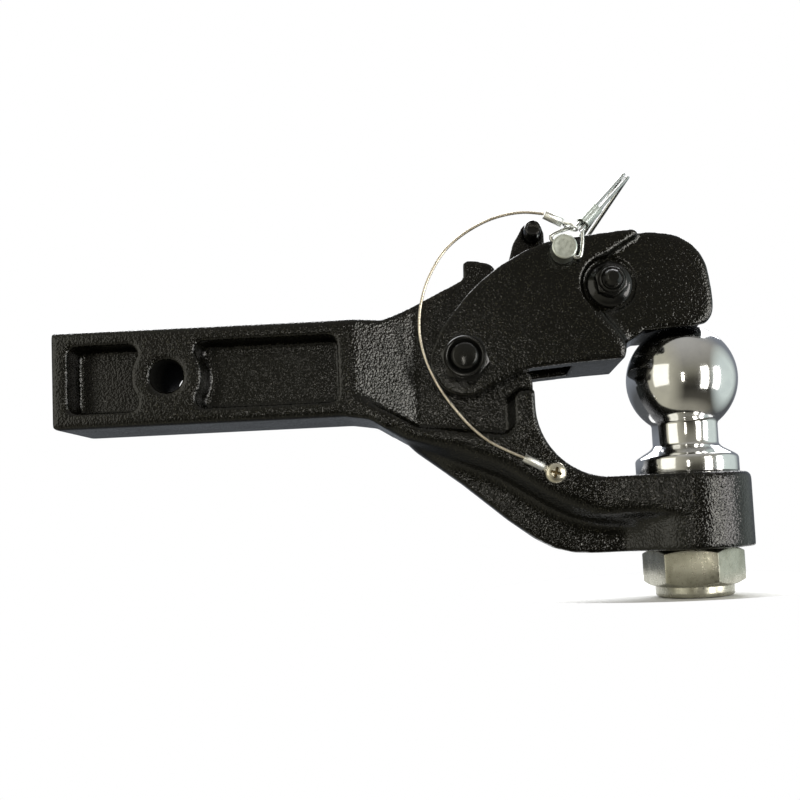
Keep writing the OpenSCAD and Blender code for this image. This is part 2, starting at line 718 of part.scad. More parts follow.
module sleeve(end_y) {
  a = bail_point(sleeve_at + 1.5, 0, lean_y(end_y, sleeve_at + 1.5));
  b = bail_point(sleeve_at + 1.5 + sleeve_len, 0, lean_y(end_y, sleeve_at + 1.5 + sleeve_len));
  off = bail_pair * bail_across;
  outer = bail_d + 2 * sleeve_wall;
  difference() {
    union() {
      for (s = [-1, 1]) bar(a + s * off, b + s * off, outer);
      bar(a, b, outer);
    }
    for (s = [-1, 1])
      bar(a + s * off - 2 * unit(b - a), b + s * off + 2 * unit(b - a), bail_d + 2 * bail_gap);
    bar(a - 2 * unit(b - a), b + 2 * unit(b - a), bail_d);
  }
}

module near_sleeve() {
  color("#bfc1c0") sleeve(bail_y);
}

module far_sleeve() {
  color("#bfc1c0") sleeve(groove_y);
}

// Lanyard: cable, crimped ferrules with their eyes, and the screw
module ring(centre, r, d, axis) {
  translate(centre) rotate([0, acos(axis.z / norm(axis)), atan2(axis.y, axis.x)])
    rotate_extrude($fn = 32) translate([r, 0]) circle(d = d, $fn = 24);
}

// A loop of cable that leaves a ferrule at start
module eye(start, centre, r, axis) {
  along = unit(centre - start);
  across = r * unit(cross(along, axis));
  ring(centre, r, cable_d, axis);
  for (s = [-1, 1]) bar(start - along, centre + s * across, cable_d);
}

module upper_ferrule() {
  along = unit(upper_eye - cable_route[0]);
  start = cable_route[0] + ferrule_gap * along;
  end = start + upper_ferrule_len * along;
  eye_r = bail_d / 2 + cable_d / 2 + 1.4;
  color("#a9a9a4") {
    bar(start, end, ferrule_d);
    eye(end, upper_eye, eye_r, cross(along, [0, 1, 0]));
  }
}

module lanyard_cable() {
  color("#9a958b") tube(smooth(cable_route, 2), cable_d, [0, 1, 0]);
}

module lower_ferrule() {
  start = cable_route[len(cable_route) - 1];
  eye_r = screw_d / 2 + cable_d / 2 + 0.1;
  color("#a9a9a4") {
    bar(start, lower_end, ferrule_d - 0.4);
    eye(lower_end, [screw_x, -half - cable_d / 2, screw_z], eye_r, [0, 1, 0]);
  }
}

module lanyard_screw() {
  under = -half - cable_d;
  color("#b8b29c") difference() {
    union() {
      rod(screw_x, screw_z, screw_d, under - 1, -half + screw_len - 1);
      rod(screw_x, screw_z, screw_head_d, under - screw_head_h + 1.2, under);
      translate([screw_x, under - screw_head_h + 1.2, screw_z]) rotate([90, 0, 0])
        cylinder(h = 1.2, d1 = screw_head_d, d2 = screw_head_d - 3);
    }
    for (a = [0, 90])
      translate([screw_x, under - screw_head_h, screw_z]) rotate([0, a, 0])
        cube([screw_head_d * 0.5, 3.2, 1.4], center = true);
  }
}

hook_body();
tow_ball();
ball_nut();
nut_insert();
latch_jaw();
pivot_bolt();
pivot_nut();
lock_lever();
lever_handle();
lever_bolt();
lever_nut();
lever_spring();
safety_pin();
pin_bail();
near_sleeve();
far_sleeve();
upper_ferrule();
lanyard_cable();
lower_ferrule();
lanyard_screw();
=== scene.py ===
from math import cos, pi, radians, sin

import bpy
from mathutils import Matrix, Vector


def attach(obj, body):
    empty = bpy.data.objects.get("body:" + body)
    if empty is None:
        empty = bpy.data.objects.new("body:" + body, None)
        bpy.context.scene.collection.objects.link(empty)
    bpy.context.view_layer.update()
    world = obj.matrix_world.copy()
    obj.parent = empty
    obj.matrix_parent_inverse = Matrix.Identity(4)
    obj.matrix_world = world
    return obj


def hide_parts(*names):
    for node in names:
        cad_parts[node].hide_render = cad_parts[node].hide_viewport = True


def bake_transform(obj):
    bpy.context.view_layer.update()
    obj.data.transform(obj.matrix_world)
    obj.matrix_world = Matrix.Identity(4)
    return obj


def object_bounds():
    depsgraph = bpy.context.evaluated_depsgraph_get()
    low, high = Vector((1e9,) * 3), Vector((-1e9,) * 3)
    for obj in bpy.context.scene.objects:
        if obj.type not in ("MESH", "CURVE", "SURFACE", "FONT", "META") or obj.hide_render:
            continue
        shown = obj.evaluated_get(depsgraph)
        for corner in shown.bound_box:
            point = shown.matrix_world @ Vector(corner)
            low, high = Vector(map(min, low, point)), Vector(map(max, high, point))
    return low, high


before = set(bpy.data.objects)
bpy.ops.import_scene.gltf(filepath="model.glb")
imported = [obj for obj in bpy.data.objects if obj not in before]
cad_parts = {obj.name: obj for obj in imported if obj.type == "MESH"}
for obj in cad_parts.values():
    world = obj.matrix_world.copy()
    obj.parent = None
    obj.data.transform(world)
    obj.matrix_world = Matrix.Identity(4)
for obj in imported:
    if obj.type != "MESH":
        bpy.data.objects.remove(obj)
cad_low, cad_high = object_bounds()

# Camera: just under the shank's height, square to the hook's side, tipped a little up and rolled clockwise.
# The wide framing keeps the whole hook in the middle of a white square.
pitch = radians(4.0)
roll = radians(2.8)
forward = Vector((0, cos(pitch), sin(pitch)))
level_up = Vector((0, -sin(pitch), cos(pitch)))
right = cos(roll) * Vector((1, 0, 0)) - sin(roll) * level_up
up = sin(roll) * Vector((1, 0, 0)) + cos(roll) * level_up
turn = Matrix((right, up, -forward)).transposed().to_4x4()
lens = bpy.data.cameras.new("photo_camera")
lens.lens = 40.8
lens.sensor_width = 36.0
lens.shift_x = -0.08
lens.shift_y = 0.077
lens.clip_start = 0.01
camera = bpy.data.objects.new("photo_camera", lens)
camera.matrix_world = Matrix.Translation((0.1505, -0.4846, -0.0836)) @ turn
bpy.context.scene.collection.objects.link(camera)
bpy.context.scene.camera = camera

# Studio: a small pale floor under the ball nut, four soft boxes, and a strip light beside the camera.
# The surround is white to the camera. In reflections it is a room, warm in front and cool at the right.
floor_r = 0.11
floor_spot = (0.27, 0.08, cad_low.z - 0.0003)
bpy.ops.object.select_all(action="DESELECT")
bpy.ops.mesh.primitive_circle_add(vertices=96, radius=floor_r, fill_type="NGON", location=floor_spot)
floor = bpy.context.object
floor.name = "studio_floor"
floor_white = bpy.data.materials.new("floor_white")
floor_white.use_nodes = True
floor_shader = floor_white.node_tree.nodes["Principled BSDF"]
floor_shader.inputs["Base Color"].default_value = (0.9, 0.9, 0.9, 1)
floor_shader.inputs["Roughness"].default_value = 0.9
floor.data.materials.append(floor_white)

for name, place, aim, size, power, tone in (
    ("soft_box_above", (0.2, 1.0, 1.2), (0.2, 0.25, -0.1), (2.2, 1.6), 52, (1, 1, 1)),
    ("soft_box_left", (-0.8, -0.75, 0.15), (0.2, 0, 0), (0.8, 1.0), 2.6, (1, 0.98, 0.88)),
    ("strip_light", (0.09, -1.0, -0.04), (0.23, 0, -0.07), (0.05, 0.3), 0.5, (1, 0.96, 0.86)),
    ("soft_box_right", (1.15, -1.25, -0.1), (0.2, 0, 0), (0.4, 1.1), 12, (1, 0.98, 0.9)),
    ("soft_box_side", (1.85, -0.8, -0.1), (0.27, 0, -0.07), (0.45, 1.1), 11, (1, 0.95, 0.92)),
):
    light = bpy.data.lights.new(name, "AREA")
    light.shape = "RECTANGLE"
    light.size, light.size_y = size
    light.energy = power
    light.color = tone
    lamp = bpy.data.objects.new(name, light)
    lamp.location = place
    lamp.rotation_mode = "QUATERNION"
    lamp.rotation_quaternion = (Vector(aim) - Vector(place)).to_track_quat("-Z", "Y")
    lamp.visible_camera = False
    bpy.context.scene.collection.objects.link(lamp)

world = bpy.data.worlds.new("white_surround")
bpy.context.scene.world = world
world.use_nodes = True
air = world.node_tree.nodes
wire = world.node_tree.links
air.clear()
facing = air.new("ShaderNodeTexCoord")
parts = air.new("ShaderNodeSeparateXYZ")
seen = air.new("ShaderNodeLightPath")
room = air.new("ShaderNodeValToRGB")
rear = air.new("ShaderNodeMapRange")
rear.inputs["From Min"].default_value = -0.1
rear.inputs["From Max"].default_value = 0.5
height = air.new("ShaderNodeMapRange")
height.inputs["From Min"].default_value = -1
wire.new(facing.outputs["Generated"], parts.inputs[0])
wire.new(parts.outputs["Z"], height.inputs["Value"])
wire.new(parts.outputs["Y"], rear.inputs["Value"])
wire.new(height.outputs["Result"], room.inputs["Fac"])
tones = room.color_ramp.elements
tones[0].position = 0.06
tones[0].color = (0.3, 0.285, 0.23, 1)
tones[1].position = 1.0
tones[1].color = (0.45, 0.44, 0.41, 1)
for spot, tone in (
    (0.16, (0.08, 0.075, 0.06, 1)), (0.3, (0.035, 0.033, 0.026, 1)), (0.44, (0.07, 0.066, 0.05, 1)),
    (0.6, (0.22, 0.21, 0.165, 1)),
):
    tones.new(spot).color = tone
left_wall = air.new("ShaderNodeMapRange")
left_wall.inputs["From Min"].default_value = -0.1
left_wall.inputs["From Max"].default_value = -0.6
wire.new(parts.outputs["X"], left_wall.inputs["Value"])
right_wall = air.new("ShaderNodeMapRange")
right_wall.inputs["From Min"].default_value = 0.7
right_wall.inputs["From Max"].default_value = 0.92
wire.new(parts.outputs["X"], right_wall.inputs["Value"])
side_room = air.new("ShaderNodeMix")
side_room.data_type = "RGBA"
side_room.inputs["B"].default_value = (0.74, 0.83, 0.79, 1)
wire.new(right_wall.outputs["Result"], side_room.inputs["Factor"])
front_room = air.new("ShaderNodeMix")
front_room.data_type = "RGBA"
front_room.inputs["B"].default_value = (0.5, 0.48, 0.38, 1)
wire.new(left_wall.outputs["Result"], front_room.inputs["Factor"])
wire.new(room.outputs["Color"], front_room.inputs["A"])
turned_round = air.new("ShaderNodeMix")
turned_round.data_type = "RGBA"
rear_room = air.new("ShaderNodeValToRGB")
rear_room.color_ramp.elements[0].position = 0.42
rear_room.color_ramp.elements[0].color = (0.1, 0.105, 0.11, 1)
rear_room.color_ramp.elements[1].position = 0.56
rear_room.color_ramp.elements[1].color = (0.23, 0.25, 0.28, 1)
wire.new(height.outputs["Result"], rear_room.inputs["Fac"])
wire.new(rear.outputs["Result"], turned_round.inputs["Factor"])
wire.new(front_room.outputs["Result"], turned_round.inputs["A"])
wire.new(rear_room.outputs["Color"], turned_round.inputs["B"])
choice = air.new("ShaderNodeMix")
choice.data_type = "RGBA"
choice.inputs["B"].default_value = (1, 1, 1, 1)
sky = air.new("ShaderNodeBackground")
sky_out = air.new("ShaderNodeOutputWorld")
wire.new(seen.outputs["Is Camera Ray"], choice.inputs["Factor"])
wire.new(turned_round.outputs["Result"], side_room.inputs["A"])
wire.new(side_room.outputs["Result"], choice.inputs["A"])
wire.new(choice.outputs["Result"], sky.inputs["Color"])
wire.new(sky.outputs["Background"], sky_out.inputs["Surface"])
bpy.context.scene.view_settings.view_transform = "Standard"

# Hook: one iron casting with the shank, tongue, throat, arm and ball platform.
# It is sprayed with a thick black paint that dries to an orange peel. The mould leaves every edge rounded.
peel = bpy.data.node_groups.new("orange_peel", "ShaderNodeTree")
peel.interface.new_socket("Grain", in_out="INPUT", socket_type="NodeSocketFloat")
peel.interface.new_socket("Height", in_out="OUTPUT", socket_type="NodeSocketFloat")
peel.interface.new_socket("Glint", in_out="OUTPUT", socket_type="NodeSocketFloat")
peel.interface.new_socket("Cloud", in_out="OUTPUT", socket_type="NodeSocketFloat")
peel_in = peel.nodes.new("NodeGroupInput")
peel_out = peel.nodes.new("NodeGroupOutput")
peel_place = peel.nodes.new("ShaderNodeTexCoord")


def peel_noise(times, detail):
    """Noise in the orange peel group, at a multiple of the grain's scale."""
    scale = peel.nodes.new("ShaderNodeMath")
    scale.operation = "MULTIPLY"
    scale.inputs[1].default_value = times
    noise = peel.nodes.new("ShaderNodeTexNoise")
    noise.inputs["Detail"].default_value = detail
    peel.links.new(peel_in.outputs["Grain"], scale.inputs[0])
    peel.links.new(scale.outputs[0], noise.inputs["Scale"])
    peel.links.new(peel_place.outputs["Object"], noise.inputs["Vector"])
    return noise.outputs["Fac"]


def peel_mix(first, second, share):
    """first plus a share of second."""
    total = peel.nodes.new("ShaderNodeMath")
    total.operation = "MULTIPLY_ADD"
    total.inputs[1].default_value = share
    peel.links.new(second, total.inputs[0])
    peel.links.new(first, total.inputs[2])
    return total.outputs[0]


ripple = peel_noise(1.0, 1.0)
swell = peel_noise(0.22, 1.0)
pips = peel_noise(1.7, 0.0)
# The highest pips become spots of lighter base colour: painted glints standing for the paint's sparkle.
glint_spots = peel.nodes.new("ShaderNodeMapRange")
glint_spots.inputs["From Min"].default_value = 0.68
glint_spots.inputs["From Max"].default_value = 0.75
peel.links.new(pips, glint_spots.inputs["Value"])
peel.links.new(peel_mix(peel_mix(ripple, pips, 0.4), swell, 0.4), peel_out.inputs["Height"])
peel.links.new(glint_spots.outputs["Result"], peel_out.inputs["Glint"])
peel.links.new(peel_noise(0.03, 3.0), peel_out.inputs["Cloud"])


def painted(name, colour, glint_tone, grain, depth, smooth, dull):
    """Black paint over a casting: peel of a grain per metre, with painted glints as lighter spots of
    colour, and a gloss that wanders.
    """
    made = bpy.data.materials.new(name)
    made.use_nodes = True
    nodes = made.node_tree.nodes
    links = made.node_tree.links
    shader = nodes["Principled BSDF"]
    shader.inputs["Specular IOR Level"].default_value = 0.42
    surface = nodes.new("ShaderNodeGroup")
    surface.node_tree = peel
    surface.inputs["Grain"].default_value = grain
    tint = nodes.new("ShaderNodeMix")
    tint.data_type = "RGBA"
    tint.inputs["A"].default_value = (*colour, 1)
    tint.inputs["B"].default_value = (*glint_tone, 1)
    links.new(surface.outputs["Glint"], tint.inputs["Factor"])
    links.new(tint.outputs["Result"], shader.inputs["Base Color"])
    gloss = nodes.new("ShaderNodeMapRange")
    gloss.inputs["From Min"].default_value = 0.35
    gloss.inputs["From Max"].default_value = 0.65
    gloss.inputs["To Min"].default_value = smooth
    gloss.inputs["To Max"].default_value = dull
    links.new(surface.outputs["Cloud"], gloss.inputs["Value"])
    links.new(gloss.outputs["Result"], shader.inputs["Roughness"])
    bump = nodes.new("ShaderNodeBump")
    bump.inputs["Strength"].default_value = 1.0
    bump.inputs["Distance"].default_value = depth
    links.new(surface.outputs["Height"], bump.inputs["Height"])
    links.new(bump.outputs["Normal"], shader.inputs["Normal"])
    return made


def copy_of(node, name):
    """A merged copy of a CAD node's mesh, selected and active."""
    bpy.ops.object.select_all(action="DESELECT")
    piece = bpy.data.objects.new(name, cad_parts[node].data.copy())
    bpy.context.scene.collection.objects.link(piece)
    piece.data.materials.clear()
    piece.select_set(True)
    bpy.context.view_layer.objects.active = piece
    bpy.ops.object.mode_set(mode="EDIT")
    bpy.ops.mesh.select_all(action="SELECT")
    bpy.ops.mesh.remove_doubles(threshold=0.000002)
    bpy.ops.object.mode_set(mode="OBJECT")
    return piece


def cast(node, name, grid, passes):
    """A CAD node's copy with its edges rounded off, as sand and paint leave them."""
    piece = copy_of(node, name)
    remesh = piece.modifiers.new("grid", "REMESH")
    remesh.mode = "VOXEL"
    remesh.voxel_size = grid
    remesh.use_smooth_shade = True
    bpy.ops.object.modifier_apply(modifier="grid")
    ease = piece.modifiers.new("ease", "SMOOTH")
    ease.factor = 0.5
    ease.iterations = passes
    bpy.ops.object.modifier_apply(modifier="ease")
    return piece


def eased(piece, passes, share_at):
    """A casting with more rounding where share_at gives a point a share of it."""
    soft = piece.vertex_groups.new(name="soft")
    for point in piece.data.vertices:
        share = share_at(point.co)
        if share > 0:
            soft.add([point.index], min(share, 1.0), "REPLACE")
    ease = piece.modifiers.new("ease", "SMOOTH")
    ease.factor = 0.5
    ease.iterations = passes
    ease.vertex_group = "soft"
    bpy.context.view_layer.objects.active = piece
    bpy.ops.object.modifier_apply(modifier="ease")
    piece.vertex_groups.clear()
    return piece


def dress(piece, body, slot, material, *nodes):
    """A finished piece: its material, the body it rides on and the nodes it stands for. The slot is not
    used.
    """
    piece.data.materials.clear()
    piece.data.materials.append(material)
    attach(piece, body)
    if nodes:
        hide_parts(*nodes)
    return piece


black = (0.0018, 0.0017, 0.0012)
# The colour of the painted glints: lighter spots that stand for sparkle on the black paint.
painted_glint_grey = (0.024, 0.023, 0.016)
hook_paint = painted("hook_paint", black, painted_glint_grey, 800, 0.00029, 0.05, 0.12)
flange_end = 0.252
flange_edge = [
    (0.112, -0.033), (0.122, -0.0394), (0.1455, -0.0449), (0.1695, -0.055), (0.1925, -0.0705),
    (0.2045, -0.0769), (0.2185, -0.0809), (0.2385, -0.0825), (flange_end, -0.0825),
]
roll_drop = 0.002
roll_half = 0.011
roll_fade = 0.004
end_fade = 0.008


def under_flange(point):
    """Where the flange rolls over into the keel."""
    for (x0, z0), (x1, z1) in zip(flange_edge, flange_edge[1:]):
        if x0 <= point.x < x1:
            off = point.z - z0 - (z1 - z0) * (point.x - x0) / (x1 - x0) + roll_drop
            return min((roll_half - abs(off)) / roll_fade, (flange_end - point.x) / end_fade)
    return 0


hook = eased(cast("hook_body", "hook_casting", 0.0011, 9), 100, under_flange)
dress(hook, "hook", "casting_paint", hook_paint, "hook_body")
# The bore's faces get a dull black that barely reflects: painted shade that darkens the inside of the hole.
bore_painted_shade = painted("bore_painted_shade", (0.004, 0.004, 0.0035), (0.012, 0.012, 0.01), 700, 0.0001, 0.75, 0.95)
bore_painted_shade.node_tree.nodes["Principled BSDF"].inputs["Specular IOR Level"].default_value = 0.1
hook.data.materials.append(bore_painted_shade)
bore_reach = 0.0089
bore_half = 0.0238
for face in hook.data.polygons:
    if Vector((face.center.x, face.center.z)).length < bore_reach and abs(face.center.y) < bore_half:
        face.material_index = 1

# Tow ball: a steel ball turned with its neck, flange and threaded shank, then polished and chromed.
# It stands on the platform, and its shank goes down through the platform into the nut.
ball_x = 0.2695
seat_z = -0.0625


def turned(name, rings, sides, spot, axis="Z"):
    """A solid of revolution: rings of (radius, height), each extruded from the last, set down at a spot."""
    bpy.ops.object.select_all(action="DESELECT")
    radius, height = rings[0]
    start = (0, 0, height)
    bpy.ops.mesh.primitive_circle_add(vertices=sides, radius=radius, fill_type="NGON", location=start)
    piece = bpy.context.object
    piece.name = name
    bpy.ops.object.transform_apply(location=True, rotation=True, scale=True)
    bpy.ops.object.mode_set(mode="EDIT")
    bpy.ops.mesh.select_all(action="SELECT")
    for next_radius, next_height in rings[1:]:
        bpy.ops.mesh.extrude_region_move(TRANSFORM_OT_translate={"value": (0, 0, next_height - height)})
        share = next_radius / radius
        bpy.ops.transform.resize(value=(share, share, 1), center_override=(0, 0, next_height))
        radius, height = next_radius, next_height
    bpy.ops.mesh.select_all(action="SELECT")
    bpy.ops.mesh.normals_make_consistent(inside=False)
    bpy.ops.object.mode_set(mode="OBJECT")
    if axis == "-Y":
        piece.rotation_euler = (pi / 2, 0, 0)
    elif axis == "+Y":
        piece.rotation_euler = (-pi / 2, 0, 0)
    piece.location = spot
    bpy.ops.object.transform_apply(location=True, rotation=True, scale=True)
    bpy.ops.object.shade_smooth_by_angle(angle=radians(32))
    return piece


wear = bpy.data.node_groups.new("metal_wear", "ShaderNodeTree")
wear.interface.new_socket("Grain", in_out="INPUT", socket_type="NodeSocketFloat")
wear.interface.new_socket("Marks", in_out="OUTPUT", socket_type="NodeSocketFloat")
wear.interface.new_socket("Blotch", in_out="OUTPUT", socket_type="NodeSocketFloat")
wear_in = wear.nodes.new("NodeGroupInput")
wear_out = wear.nodes.new("NodeGroupOutput")
wear_place = wear.nodes.new("ShaderNodeTexCoord")
blotch = wear.nodes.new("ShaderNodeTexNoise")
blotch.inputs["Scale"].default_value = 160
blotch.inputs["Detail"].default_value = 4
marks = wear.nodes.new("ShaderNodeTexNoise")
marks.inputs["Detail"].default_value = 2
spread = wear.nodes.new("ShaderNodeMapRange")
spread.inputs["From Min"].default_value = 0.38
spread.inputs["From Max"].default_value = 0.66
wear.links.new(wear_place.outputs["Object"], blotch.inputs["Vector"])
wear.links.new(wear_place.outputs["Object"], marks.inputs["Vector"])
wear.links.new(wear_in.outputs["Grain"], marks.inputs["Scale"])
wear.links.new(blotch.outputs["Fac"], spread.inputs["Value"])
wear.links.new(spread.outputs["Result"], wear_out.inputs["Blotch"])
wear.links.new(marks.outputs["Fac"], wear_out.inputs["Marks"])


def metal(name, colour, shade, low, high, grain, bump_depth):
    """Bare or plated metal: a colour that wanders to a shade, a range of roughness, and fine marks."""
    made = bpy.data.materials.new(name)
    made.use_nodes = True
    nodes = made.node_tree.nodes
    links = made.node_tree.links
    shader = nodes["Principled BSDF"]
    shader.inputs["Metallic"].default_value = 1.0
    surface = nodes.new("ShaderNodeGroup")
    surface.node_tree = wear
    surface.inputs["Grain"].default_value = grain
    tint = nodes.new("ShaderNodeMix")
    tint.data_type = "RGBA"
    tint.inputs["A"].default_value = (*colour, 1)
    tint.inputs["B"].default_value = (*shade, 1)
    links.new(surface.outputs["Blotch"], tint.inputs["Factor"])
    links.new(tint.outputs["Result"], shader.inputs["Base Color"])
    gloss = nodes.new("ShaderNodeMapRange")
    gloss.inputs["From Min"].default_value = 0.3
    gloss.inputs["From Max"].default_value = 0.7
    gloss.inputs["To Min"].default_value = low
    gloss.inputs["To Max"].default_value = high
    links.new(surface.outputs["Marks"], gloss.inputs["Value"])
    links.new(gloss.outputs["Result"], shader.inputs["Roughness"])
    bump = nodes.new("ShaderNodeBump")
    bump.inputs["Strength"].default_value = 1.0
    bump.inputs["Distance"].default_value = bump_depth
    links.new(surface.outputs["Marks"], bump.inputs["Height"])
    links.new(bump.outputs["Normal"], shader.inputs["Normal"])
    return made


ball_r = 0.02937
ball_z = 0.051
neck_r = 0.01725
thread_r = 0.015875
thread_root = 0.0149
thread_low = -0.0605
pitch_z = 0.0028
ball_rings = [(0.0005, -0.0625), (0.0148, -0.0625)]
for turn_no in range(9):
    crest_z = thread_low + pitch_z * turn_no
    ball_rings += [(thread_r, crest_z), (thread_root, crest_z + pitch_z / 2)]
ball_rings += [
    (thread_r, -0.0355), (thread_r, 0.0), (0.026, 0.0), (0.0267, 0.0003), (0.027, 0.001), (0.027, 0.0076),
    (0.0268, 0.0083), (0.0264, 0.009), (0.0257, 0.0096), (0.0238, 0.0108), (0.0218, 0.012),
    (0.0202, 0.0129), (0.0189, 0.0138), (0.0181, 0.0146), (0.0175, 0.0154), (neck_r, 0.0162),
    (neck_r, 0.0262), (0.0174, 0.0268),
]
for step in range(41):
    lean = radians(-53.0 + 142.6 * step / 40)
    ball_rings.append((ball_r * cos(lean), ball_z + ball_r * sin(lean)))
chrome = metal("polished_chrome", (0.78, 0.78, 0.78), (0.72, 0.72, 0.73), 0.08, 0.13, 1400, 0.0000008)
dress(turned("chrome_ball", ball_rings, 128, (ball_x, 0, seat_z)), "hook", "chrome", chrome, "tow_ball")

# Ball nut: a zinc plated lock nut with a crowned collar that holds a ring of nylon.
# It is run up against the underside of the platform.
platform_low = -0.1015


def hexed(name, flats, low, high, bevel, spot, axis, turn_deg):
    """A hexagon bar whose corners are cut back by a cone at each end, as a nut's are."""
    bpy.ops.object.select_all(action="DESELECT")
    corner = flats / 2 / cos(pi / 6)
    middle = (0, 0, (low + high) / 2)
    bpy.ops.mesh.primitive_cylinder_add(vertices=6, radius=corner, depth=high - low, location=middle)
    piece = bpy.context.object
    piece.rotation_euler = (0, 0, radians(turn_deg - 30))
    bpy.ops.object.transform_apply(location=True, rotation=True, scale=True)
    rise = (corner - flats / 2 * 0.97) * 0.55
    rings = [
        (flats / 2 * 0.97, low), (corner * 1.01, low + rise * bevel[0] + 1e-5),
        (corner * 1.01, high - rise * bevel[1] - 1e-5), (flats / 2 * 0.97, high),
    ]
    cone = turned(name + "_cone", rings, 96, (0, 0, 0))
    meet = piece.modifiers.new("meet", "BOOLEAN")
    meet.operation = "INTERSECT"
    meet.object = cone
    bpy.context.view_layer.objects.active = piece
    bpy.ops.object.modifier_apply(modifier="meet")
    bpy.data.objects.remove(cone)
    soft = piece.modifiers.new("soft", "BEVEL")
    soft.width = flats * 0.008
    soft.segments = 2
    soft.limit_method = "ANGLE"
    soft.angle_limit = radians(25)
    bpy.ops.object.modifier_apply(modifier="soft")
    piece.name = name
    piece.select_set(True)
    if axis == "-Y":
        piece.rotation_euler = (pi / 2, 0, 0)
    elif axis == "+Y":
        piece.rotation_euler = (-pi / 2, 0, 0)
    piece.location = spot
    bpy.ops.object.transform_apply(location=True, rotation=True, scale=True)
    bpy.ops.object.shade_smooth_by_angle(angle=radians(25))
    return piece


def joined(name, *pieces):
    """Several shells made one piece."""
    bpy.ops.object.select_all(action="DESELECT")
    for piece in pieces:
        piece.select_set(True)
    bpy.context.view_layer.objects.active = pieces[0]
    bpy.ops.object.join()
    pieces[0].name = name
    return pieces[0]


nut_hex = hexed("ball_nut_hex", 0.046, -0.019, 0.0, (1, 1), (ball_x, 0, platform_low), "Z", -16)
nut_collar = turned("ball_nut_collar", [
    (0.0162, -0.0225), (0.0165, -0.0238), (0.0175, -0.0247), (0.0188, -0.025), (0.0198, -0.0246),
    (0.0204, -0.0237), (0.0205, -0.0226), (0.0205, -0.0196), (0.0212, -0.0186), (0.0212, -0.0178),
], 96, (ball_x, 0, platform_low))
zinc_nut = metal("zinc_nut", (0.45, 0.44, 0.375), (0.34, 0.33, 0.27), 0.25, 0.36, 700, 0.000008)
dress(joined("ball_lock_nut", nut_hex, nut_collar), "hook", "zinc", zinc_nut, "ball_nut")

# Nylon ring: a washer of natural nylon, milky and a little dull.
# It is pressed into the nut's collar, where it grips the thread.
nylon = bpy.data.materials.new("natural_nylon")
nylon.use_nodes = True
nylon_nodes = nylon.node_tree.nodes
nylon_shader = nylon_nodes["Principled BSDF"]
nylon_shader.inputs["Roughness"].default_value = 0.45
nylon_place = nylon_nodes.new("ShaderNodeTexCoord")
nylon_cloud = nylon_nodes.new("ShaderNodeTexNoise")
nylon_cloud.inputs["Scale"].default_value = 300
nylon_tint = nylon_nodes.new("ShaderNodeMix")
nylon_tint.data_type = "RGBA"
nylon_tint.inputs["A"].default_value = (0.8, 0.79, 0.74, 1)
nylon_tint.inputs["B"].default_value = (0.68, 0.67, 0.62, 1)
nylon.node_tree.links.new(nylon_place.outputs["Object"], nylon_cloud.inputs["Vector"])
nylon.node_tree.links.new(nylon_cloud.outputs["Fac"], nylon_tint.inputs["Factor"])
nylon.node_tree.links.new(nylon_tint.outputs["Result"], nylon_shader.inputs["Base Color"])


def smooth_copy(node, name, angle=35):
    """A CAD node's copy with its round faces shaded smooth."""
    piece = copy_of(node, name)
    bpy.ops.object.shade_smooth_by_angle(angle=radians(angle))
    return piece


dress(smooth_copy("nut_insert", "nylon_ring"), "hook", "nylon", nylon, "nut_insert")

# Latch: an iron casting of two cheeks that straddle the tongue and a nose that closes over the ball.
# The nose is left as rough as the hook, and its edges are rounder than the cheeks'.
latch_paint = painted("latch_paint", black, painted_glint_grey, 950, 0.00017, 0.06, 0.13)
nose_start = 0.246
nose_fade = 0.012
nose_low = 0.0125
cheek_inner = 0.0195
cheek_front = [
    (0.246, 0.0636, 0.230, 0.0524, 0.005, 0.3), (0.226, 0.021, 0.231, 0.015, 0.008, 1.0),
    (0.231, 0.015, 0.237, 0.006, 0.008, 1.0),
]


def nose_only(point):
    """The nose in front of the cheeks, and the slope where it leaves them."""
    share = (point.x - nose_start) / nose_fade if point.z > nose_low else 0
    if abs(point.y) < cheek_inner:
        return share
    for x0, z0, x1, z1, wide, most in cheek_front:
        run = Vector((x1 - x0, z1 - z0))
        spot = Vector((point.x - x0, point.z - z0))
        along = min(max(spot.dot(run) / run.length_squared, 0), 1)
        share = max(share, min(2 - 2 * (spot - along * run).length / wide, 1) * most)
    return share


latch = eased(cast("latch_jaw", "latch_casting", 0.0008, 8), 60, nose_only)
dress(latch, "latch", "casting_paint", latch_paint, "latch_jaw")

# Pivot bolt and nut: a black bolt through both cheeks and the tongue, with a lock nut on the near side.
# The nut has a round collar over its hexagon, and the bolt's end stands just proud of it.
pivot_x = 0.1535
pivot_seat = 0.0266
bolt_black = painted("bolt_black", (0.004, 0.004, 0.0038), (0.012, 0.012, 0.011), 1700, 0.00002, 0.1, 0.17)
pivot_shaft = turned("pivot_shaft", [
    (0.007, -0.0286), (0.007, 0.0386), (0.0066, 0.039), (0.007, 0.0395), (0.0069, 0.0404),
    (0.0066, 0.0411), (0.0058, 0.0419), (0.0054, 0.0421),
], 64, (pivot_x, 0, 0), "-Y")
pivot_head = hexed("pivot_head", 0.022, 0.0, 0.010, (0, 1), (pivot_x, pivot_seat, 0), "+Y", 12)
pivot_bolt = joined("pivot_bolt_black", pivot_shaft, pivot_head)
dress(pivot_bolt, "hook", "black_hardware", bolt_black, "pivot_bolt")
pivot_hex = hexed("pivot_hex", 0.022, 0.0, 0.0106, (0, 1), (pivot_x, -pivot_seat, 0), "-Y", -12.6)
pivot_collar = turned("pivot_collar", [
    (0.0105, 0.0096), (0.0105, 0.0127), (0.0103, 0.0134), (0.0099, 0.0139), (0.0094, 0.014),
    (0.0088, 0.0138), (0.0083, 0.0132), (0.0073, 0.0124), (0.0071, 0.0122),
], 64, (pivot_x, -pivot_seat, 0), "-Y")
pivot_nut = joined("pivot_lock_nut", pivot_hex, pivot_collar)
dress(pivot_nut, "hook", "black_hardware", bolt_black, "pivot_nut")

